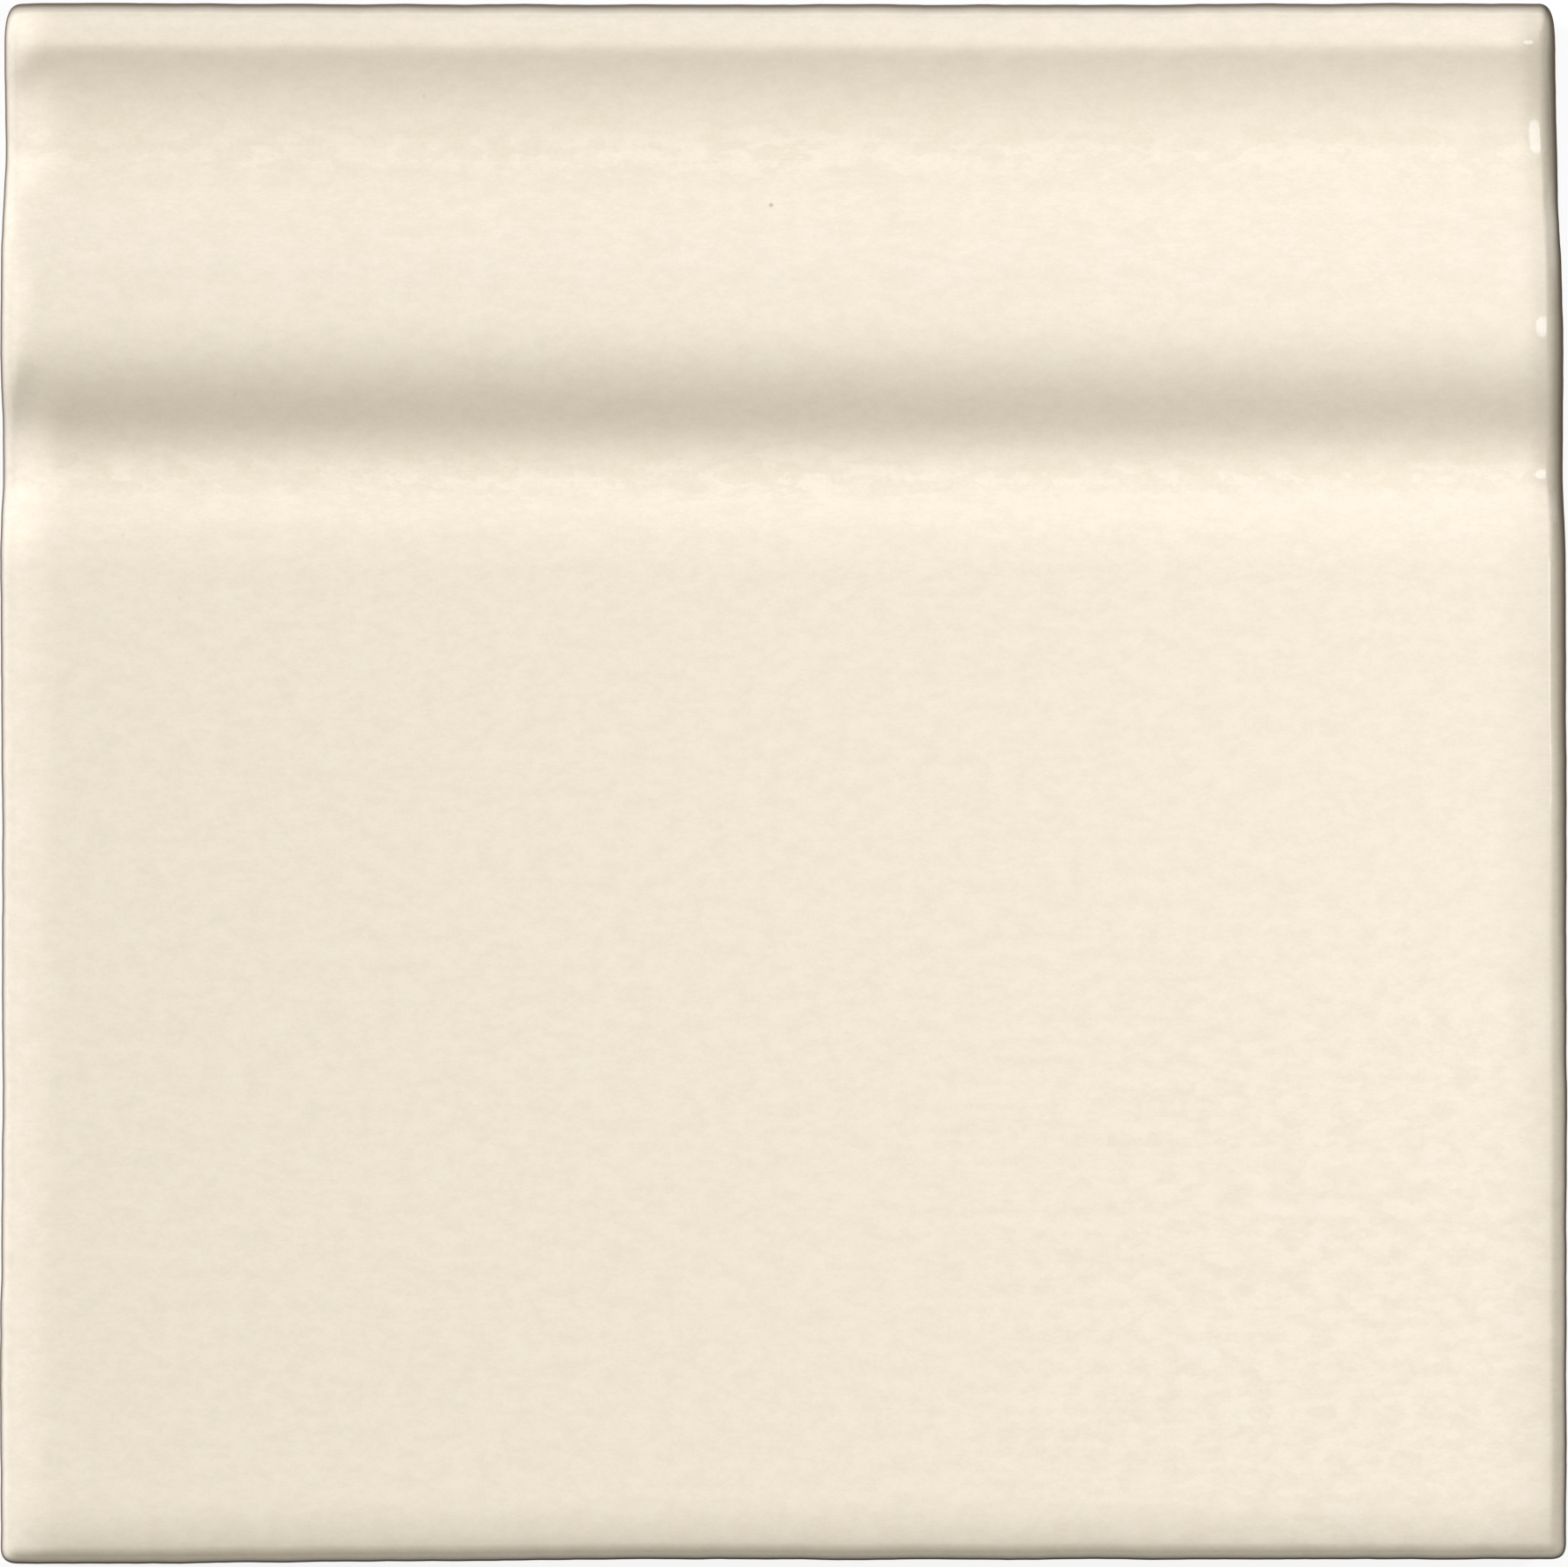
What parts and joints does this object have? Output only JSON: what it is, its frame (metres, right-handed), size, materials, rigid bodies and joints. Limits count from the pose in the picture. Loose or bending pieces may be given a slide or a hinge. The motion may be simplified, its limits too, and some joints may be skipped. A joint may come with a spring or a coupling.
{
  "type": "skirting tile",
  "caption": "Square cream glazed skirting tile with a moulded band along its top, rounded edges and a flat back for bedding at the foot of a wall.",
  "frame": {"origin": "middle of the flat back, which lies on the floor", "axes": "+X along the skirting, +Y up the face towards the moulded top edge, +Z out of the face"},
  "size_m": [0.127, 0.127, 0.0155],
  "materials": {
    "cream_glaze": "gloss"
  },
  "bodies": {
    "root": {"skirting_tile": "cream_glaze"}
  },
  "joints": []
}
